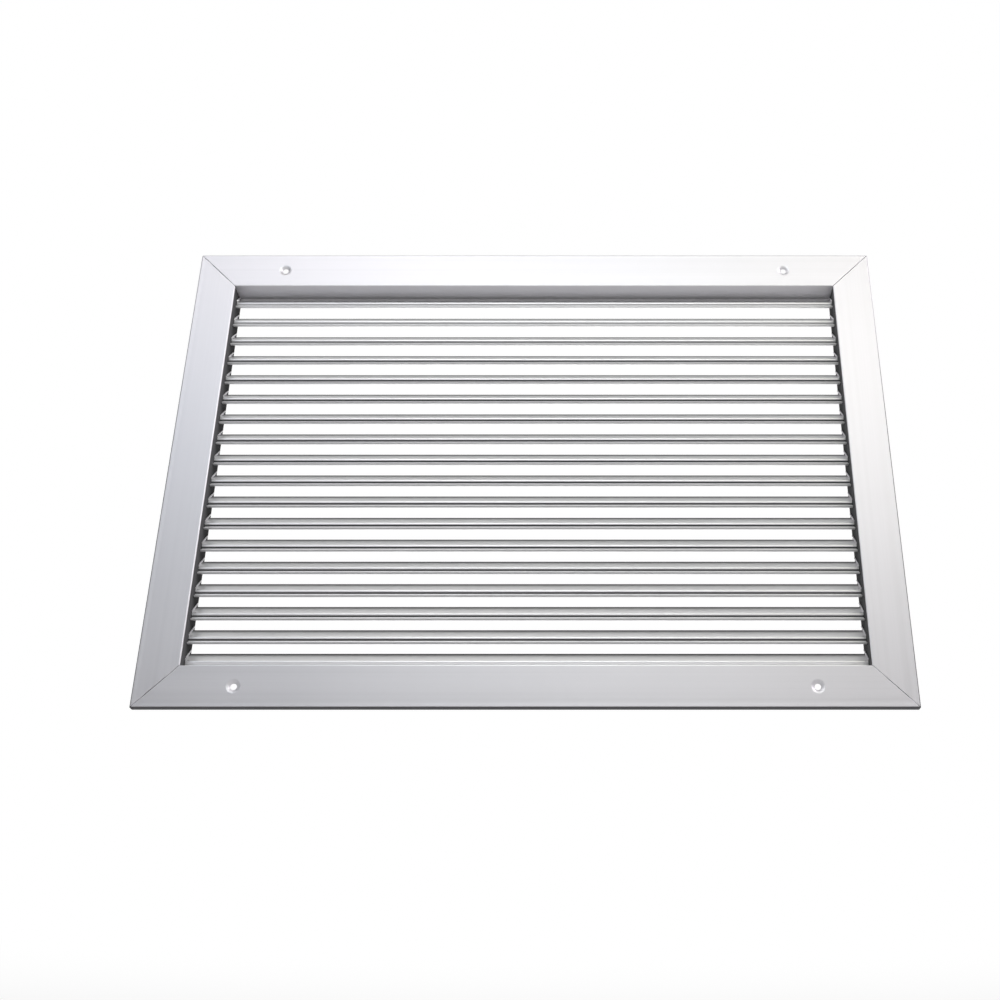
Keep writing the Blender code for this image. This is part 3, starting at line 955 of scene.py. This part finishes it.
def anodised(name, colour, roughness, finishes, along, painted_shade, line_depth, contrast, toned=False):
    """Satin anodised aluminium with faint lines along the extrusion's axis, and painted shade: a dark matt
    colour, with less metal and more roughness, where the given mask says shade falls.
    """
    material, graph, shader = new_material(name)
    lines = stretched_noise(graph, drawn_along(along, *LINE_SCALES), detail=2.0)
    bands = stretched_noise(graph, drawn_along(along, *BAND_SCALES), detail=2.0, seed=9.0)
    fine = stretched_noise(graph, drawn_along(along, *FINE_SCALES), detail=1.0, seed=3.0)
    cloud = stretched_noise(graph, (CLOUD_SCALE,) * 3, detail=3.0, seed=7.0)

    line, band, clouded = TONE_SHARES
    mix = lines * line + bands * band + cloud * clouded
    if toned:
        own = graph.add("ShaderNodeAttribute", {"attribute_name": "tone"}, output="Fac")
        mix = mix * (1.0 - OWN_TONE_SHARE) + own * OWN_TONE_SHARE
    darker = tuple(channel * (1.0 - contrast) for channel in colour)
    lighter = tuple(min(channel * (1.0 + contrast), 1.0) for channel in colour)
    # Painted shade: the mask darkens the colour towards the film colour and takes away metal and gloss where
    # shade falls.
    painted_shade_share = painted_shade(graph)
    shade = graph.mixed(painted_shade_share, graph.mixed(mix, darker, lighter), tuple(finishes.painted_shade_colour))
    line, band, clouded = SATIN_SHARES
    satin = roughness + ((lines - 0.5) * line + (bands - 0.5) * band + (cloud - 0.5) * clouded) * contrast
    relief = lines * (1.0 - FINE_SHARE) + fine * FINE_SHARE
    surface = {
        "Base Color": shade,
        "Roughness": satin + painted_shade_share * (1.0 - roughness),
        "Normal": bumped(graph, relief, LINE_STRENGTH, line_depth),
        "Specular IOR Level": finishes.skin_gloss,
        "Metallic": (1.0 - painted_shade_share) * finishes.metal_share,
    }
    graph.fill(shader, surface)
    return material


def thinned_upwards(graph, start, left):
    """A factor of one low down, which falls to what is left of it at the top of the opening."""
    return 1.0 - graph.stepped(graph.axes()[2], start, OPENING_HEIGHT / 2) * (1.0 - left)


def painted_shade_on_member(amount, at_front, sizes, finishes):
    """The painted shade of a member: inside its neck, growing towards the duct, and on the rim that meets the
    wall, thinner towards the top.
    """

    def painted_shade(graph):
        across, deep, up = graph.axes()
        beside = graph.maths("ABSOLUTE", across, 0.0) - OPENING_WIDTH / 2
        above = graph.maths("ABSOLUTE", up, 0.0) - OPENING_HEIGHT / 2
        out = graph.maths("MAXIMUM", beside, above)
        skin = 1.0 - graph.stepped(graph.maths("ABSOLUTE", out, 0.0), *PAINTED_SHADE_OFF_NECK)
        start = graph.stepped(deep, *(FRONT_Y + depth for depth in PAINTED_SHADE_BEHIND_FACE)) * at_front
        rest = graph.stepped(deep, *(FRONT_Y + depth for depth in PAINTED_SHADE_TOWARDS_DUCT)) * (1.0 - at_front)
        rim = graph.stepped(out, *(FLANGE_WIDTH - sizes.outer_radius * part for part in PAINTED_SHADE_ROUND_RIM))
        on_rim = thinned_upwards(graph, 0.0, finishes.painted_shade_left_at_top) * finishes.painted_shade_on_rim
        return skin * (start + rest) * amount + rim * on_rim

    return painted_shade


def painted_shade_on_blade(blade, finishes):
    """The painted shade of a blade: where its points hold it, but not low down next to the bottom neck, and
    thinner in front of the bead on the topmost blades.
    """

    def painted_shade(graph):
        told = graph.add("ShaderNodeAttribute", {"attribute_name": "painted_shade"}, output="Fac")
        deep, up = graph.axes()[1:]
        held = graph.stepped(told, *PAINTED_SHADE_NOTED)
        clear = graph.stepped(up, *(height - OPENING_HEIGHT / 2 for height in PAINTED_SHADE_ABOVE_BOTTOM))
        bead = FIRST_LOW.y + blade.lip_reach
        rear = graph.stepped(deep, bead, bead + PAINTED_SHADE_BEHIND_BEAD)
        thin = thinned_upwards(graph, OPENING_HEIGHT / 2 - PAINTED_SHADE_THINS_BELOW_TOP, finishes.painted_shade_left_at_top)
        return held * clear * graph.maths("MAXIMUM", rear, thin) * finishes.painted_shade_on_blades

    return painted_shade


def drawn_along(axis, slow, fast):
    """Noise scales that are slow along one axis and fast across it."""
    return tuple(slow if index == axis else fast for index in range(3))


def mill_metal(name, colour, roughness):
    """Plain bar as it leaves the mill: a mottled, slightly scuffed surface."""
    material, graph, shader = new_material(name)
    mottle = stretched_noise(graph, (MOTTLE_SCALE,) * 3, detail=5.0, seed=2.0)
    scuff = stretched_noise(graph, drawn_along(0, *SCUFF_SCALES), detail=3.0, seed=5.0)
    darker, lighter = (tuple(min(channel * tone, 1.0) for channel in colour) for tone in MILL_TONES)
    mottled, scuffed = MILL_SATIN_SHARES
    raised, scratched = MILL_RELIEF_SHARES
    surface = {
        "Base Color": graph.mixed(mottle, darker, lighter),
        "Roughness": roughness + (mottle - 0.5) * mottled + (scuff - 0.5) * scuffed,
        "Normal": bumped(graph, mottle * raised + scuff * scratched, MILL_STRENGTH, MILL_RELIEF),
        "Metallic": 1.0,
    }
    graph.fill(shader, surface)
    return material


def paper(name, studio):
    """Matt studio paper; its wall is white behind the grille, and as grey as the room in front of it."""
    material, graph, shader = new_material(name)
    mottle = stretched_noise(graph, (PAPER_SCALE,) * 3, detail=4.0)
    colour = tuple(studio.paper_colour)
    darker = tuple(channel * PAPER_DARKEST for channel in colour)
    surface = {
        "Base Color": graph.mixed(mottle, darker, colour),
        "Roughness": studio.paper_roughness,
        "Specular IOR Level": studio.paper_gloss,
    }
    graph.fill(shader, surface)

    rays = graph.node("ShaderNodeLightPath")
    seen = Wire(graph, rays.outputs["Is Camera Ray"])
    for kind in ("Is Glossy Ray", "Is Transmission Ray"):
        seen = graph.maths("MAXIMUM", seen, Wire(graph, rays.outputs[kind]))
    deep, up = graph.axes()[1:]
    raised = graph.stepped(up, studio.floor_height, studio.floor_height + studio.paper_curve)
    white_end = studio.backdrop_distance * math.cos(studio.white_half_turn)
    behind = graph.stepped(deep, white_end, studio.backdrop_distance / 2)
    wall = graph.mixed(behind, (studio.surround,) * 3, WHITE)
    tone = graph.mixed(raised, WHITE, wall)
    glow = graph.add("ShaderNodeEmission", values={"Color": tone, "Strength": 1.0})
    lit = graph.maths("MAXIMUM", seen, raised * (1.0 - behind))
    share_of_glow = lit * (studio.floor_white + raised * (1.0 - studio.floor_white))
    matt = Wire(graph, shader.outputs["BSDF"])
    mixed = graph.add("ShaderNodeMixShader", values={0: share_of_glow, 1: matt, 2: glow})
    graph.fill(material.node_tree.nodes["Material Output"], {"Surface": mixed})
    return material


# Stage


def lamp(name, place, width, brightness, colour):
    """A soft square lamp aimed at the grille; its power follows from the brightness of its face."""
    light = bpy.data.lights.new(name, "AREA")
    light.shape = "SQUARE"
    light.size = width
    light.energy = brightness * math.pi * width**2
    light.color = colour
    obj = linked(name, light)
    obj.location = place
    obj.rotation_euler = (-place).to_track_quat("-Z", "Y").to_euler()
    obj.visible_camera = False


def around(azimuth, elevation, distance):
    """A place round the grille: azimuth 0 is in front of the face, positive to the right; degrees."""
    turn = math.radians(azimuth)
    rise = math.radians(elevation)
    flat = distance * math.cos(rise)
    return Vector((flat * math.sin(turn), -flat * math.cos(turn), distance * math.sin(rise)))


def backdrop(studio):
    """Studio paper: a round floor and the wall round it, with a wide curve at its foot."""
    radius = studio.paper_curve
    reach = studio.backdrop_distance
    profile = [Vector((0.0, studio.floor_height)), Vector((reach - radius, studio.floor_height))]
    foot = Vector((reach - radius, studio.floor_height + radius))
    wall = arc(foot, radius, -math.pi / 2, math.pi / 2, studio.paper_step)[1:]
    profile += wall + [Vector((reach, studio.backdrop_height))]
    turns = round(math.tau / studio.paper_step)
    shape = bmesh.new()
    columns = []
    for index in range(turns):
        turn = math.tau * index / turns
        column = [(point.x * math.sin(turn), point.x * math.cos(turn), point.y) for point in profile]
        columns.append([shape.verts.new(place) for place in column])
    for column, following in zip(columns, columns[1:] + columns[:1]):
        for low, high, other_low, other_high in zip(column, column[1:], following, following[1:]):
            shape.faces.new((low, high, other_high, other_low))
    mesh = sewn(shape, bpy.data.meshes.new("studio_paper"))
    mesh.shade_smooth()
    mesh.materials.append(paper("studio paper", studio))
    linked("studio_paper", mesh)


# Operators


class GRILLE_OT_frame_members(bpy.types.Operator):
    """Make the four mitred frame members with their screw holes, slots and lugs"""

    bl_idname = "grille.frame_members"
    bl_label = "Frame members"

    def execute(self, context):
        sizes = context.scene.grille_member
        blade = context.scene.grille_blade
        key = context.scene.grille_key
        finishes = context.scene.grille_finish
        colour = tuple(finishes.member_colour)
        satin = finishes.member_roughness
        lines = (finishes.line_depth, finishes.member_contrast)
        # Painted shade inside the necks and on the rim of the members.
        on_top = painted_shade_on_member(finishes.painted_shade_on_top, 0.0, sizes, finishes)
        on_sides = painted_shade_on_member(finishes.painted_shade_on_sides, finishes.painted_shade_at_front, sizes, finishes)
        lying = anodised("anodised, drawn level", colour, satin, finishes, 0, on_top, *lines)
        upright = anodised("anodised, drawn upright", colour, satin, finishes, 2, on_sides, *lines)
        gap = sizes.mitre_gap / math.sqrt(2)
        outline = member_outline(sizes, key)
        members = (
            ("frame_top", OPENING_WIDTH, 0.0, (0.0, FRONT_Y, OPENING_HEIGHT / 2), lying),
            ("frame_bottom", OPENING_WIDTH, math.pi, (0.0, FRONT_Y, -OPENING_HEIGHT / 2), lying),
            ("frame_left", OPENING_HEIGHT, -math.pi / 2, (-OPENING_WIDTH / 2, FRONT_Y, 0.0), upright),
            ("frame_right", OPENING_HEIGHT, math.pi / 2, (OPENING_WIDTH / 2, FRONT_Y, 0.0), upright),
        )
        for node, opening, turn, place, material in members:
            name = node.replace("frame", "member")
            member = extruded(name, outline, opening, material, 1.0, gap, turn, place)
            member = rounded(member, sizes.edge_round)
            if node in ("frame_top", "frame_bottom"):
                up = math.copysign(FACE_HEIGHT / 2 - sizes.hole_from_edge, place[2])
                for side in (-1, 1):
                    hole = screw_hole(f"{name}_hole", sizes, side * (FACE_WIDTH / 2 - sizes.hole_inset), up)
                    member = combined(member, "DIFFERENCE", hole)
            else:
                member = punched(member, name, math.copysign(1.0, place[0]), sizes, blade, material)
            dressed(shaded(member), material, "frame", node)
        return {"FINISHED"}


class GRILLE_OT_louvre_blades(bpy.types.Operator):
    """Make the row of louvre blades"""

    bl_idname = "grille.louvre_blades"
    bl_label = "Louvre blades"

    def execute(self, context):
        sizes = context.scene.grille_member
        blade = context.scene.grille_blade
        finishes = context.scene.grille_finish
        # Painted shade up the flaps' rear, in the coves and on the lips.
        painted_shade = painted_shade_on_blade(blade, finishes)
        colour = tuple(finishes.blade_colour)
        satin = finishes.blade_roughness
        lines = (finishes.blade_line_depth, finishes.blade_contrast)
        material = anodised("anodised blade", colour, satin, finishes, 0, painted_shade, *lines, toned=True)
        blade_length = OPENING_WIDTH + 2 * (sizes.neck_wall + blade.tongue_past_wall + CUT_PAST)
        section = extruded("louvre_row", blade_outline(blade, sizes.arc_step), blade_length, material)
        blank = extruded("blade_blank", blank_outline(blade, sizes), 2 * blade.flap_length, material)
        as_plate(blank)
        blank.data.transform(Euler((blade.slope - math.pi / 2, 0.0, 0.0)).to_matrix().to_4x4())
        one = combined(section, "INTERSECT", blank)
        # Note how much painted shade each point of the blade gets.
        mark_painted_shade(one, blade)
        row = in_row(one, first_bead(blade, sizes.arc_step), blade.seed, blade.tilt_scatter, material)
        dressed(shaded(row), material, "blade", *BLADE_NODES)
        return {"FINISHED"}


class GRILLE_OT_corner_keys(bpy.types.Operator):
    """Make the four corner keys behind the mitres"""

    bl_idname = "grille.corner_keys"
    bl_label = "Corner keys"

    def execute(self, context):
        key = context.scene.grille_key
        finishes = context.scene.grille_finish
        material = mill_metal("mill aluminium", tuple(finishes.key_colour), finishes.key_roughness)
        for node in KEY_NODES:
            low, high = (Vector(corner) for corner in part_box(node))
            middle = (low + high) / 2
            side = math.copysign(1.0, middle.x)
            above = math.copysign(1.0, middle.z)
            chamfer = key.tip_chamfer
            leg = [
                Vector((chamfer - key.leg, 0.0)),
                Vector((-key.leg, -chamfer)),
                Vector((-key.leg, chamfer - key.width)),
                Vector((chamfer - key.leg, -key.width)),
            ]
            other = [Vector((point.y, point.x)) for point in leg[::-1]]
            outline = [Vector((0.0, 0.0))] + leg + [Vector((-key.width, -key.width))] + other
            corner = Vector((side * max(abs(low.x), abs(high.x)), above * max(abs(low.z), abs(high.z))))
            placed = [corner + Vector((side * point.x, above * point.y)) for point in outline]
            piece = extruded(node.replace("corner_key", "key"), placed, key.thickness, material)
            as_plate(piece, middle.y)
            piece = rounded(piece, key.edge_round, 3)
            dressed(shaded(piece), material, "key", node)
        return {"FINISHED"}


class GRILLE_OT_stage(bpy.types.Operator):
    """Set the camera, the lamps, the floor and the backdrop"""

    bl_idname = "grille.stage"
    bl_label = "Stage"

    def execute(self, context):
        scene = context.scene
        studio = scene.grille_studio
        camera = linked("camera", bpy.data.cameras.new("camera"))
        camera.data.lens = studio.lens
        camera.data.sensor_width = SENSOR_WIDTH
        camera.data.shift_x = studio.camera_shift
        camera.location = studio.camera_place
        camera.rotation_euler = (studio.camera_tilt, 0.0, 0.0)
        scene.camera = camera

        for setting, azimuth, elevation, (distance, width), colour in LAMPS:
            place = around(azimuth, elevation, distance)
            lamp(f"{setting}_lamp", place, width, getattr(studio, setting), colour)

        scene.world = bpy.data.worlds.new("room")
        scene.world.use_nodes = True
        tree = scene.world.node_tree
        room = {"Color": (*WHITE, 1.0), "Strength": studio.surround}
        Graph(tree).fill(tree.nodes["Background"], room)
        scene.view_settings.view_transform = "Standard"
        backdrop(studio)
        return {"FINISHED"}


class GRILLE_PT_looks(bpy.types.Panel):
    """Pieces of the grille, in the order in which they are made"""

    bl_idname = "GRILLE_PT_looks"
    bl_label = "Return air grille"
    bl_space_type = "VIEW_3D"
    bl_region_type = "UI"
    bl_category = "Grille"

    def draw(self, context):
        for operator in OPERATORS:
            self.layout.operator(operator.bl_idname)


OPERATORS = (GRILLE_OT_frame_members, GRILLE_OT_louvre_blades, GRILLE_OT_corner_keys, GRILLE_OT_stage)
SETTINGS = {
    "grille_member": MemberSizes,
    "grille_blade": BladeSizes,
    "grille_key": KeySizes,
    "grille_finish": Finishes,
    "grille_studio": Studio,
}
CLASSES = (*SETTINGS.values(), *OPERATORS, GRILLE_PT_looks)


def register():
    """Make the settings, the operators and the panel known."""
    for item in CLASSES:
        bpy.utils.register_class(item)
    for name, group in SETTINGS.items():
        setattr(bpy.types.Scene, name, PointerProperty(type=group))


def unregister():
    """Take them out again."""
    for name in SETTINGS:
        delattr(bpy.types.Scene, name)
    for item in reversed(CLASSES):
        bpy.utils.unregister_class(item)


def main():
    """Make the pieces and the stage."""
    register()
    bpy.ops.grille.frame_members()
    bpy.ops.grille.louvre_blades()
    bpy.ops.grille.corner_keys()
    bpy.ops.grille.stage()


if __name__ == "__main__":
    main()
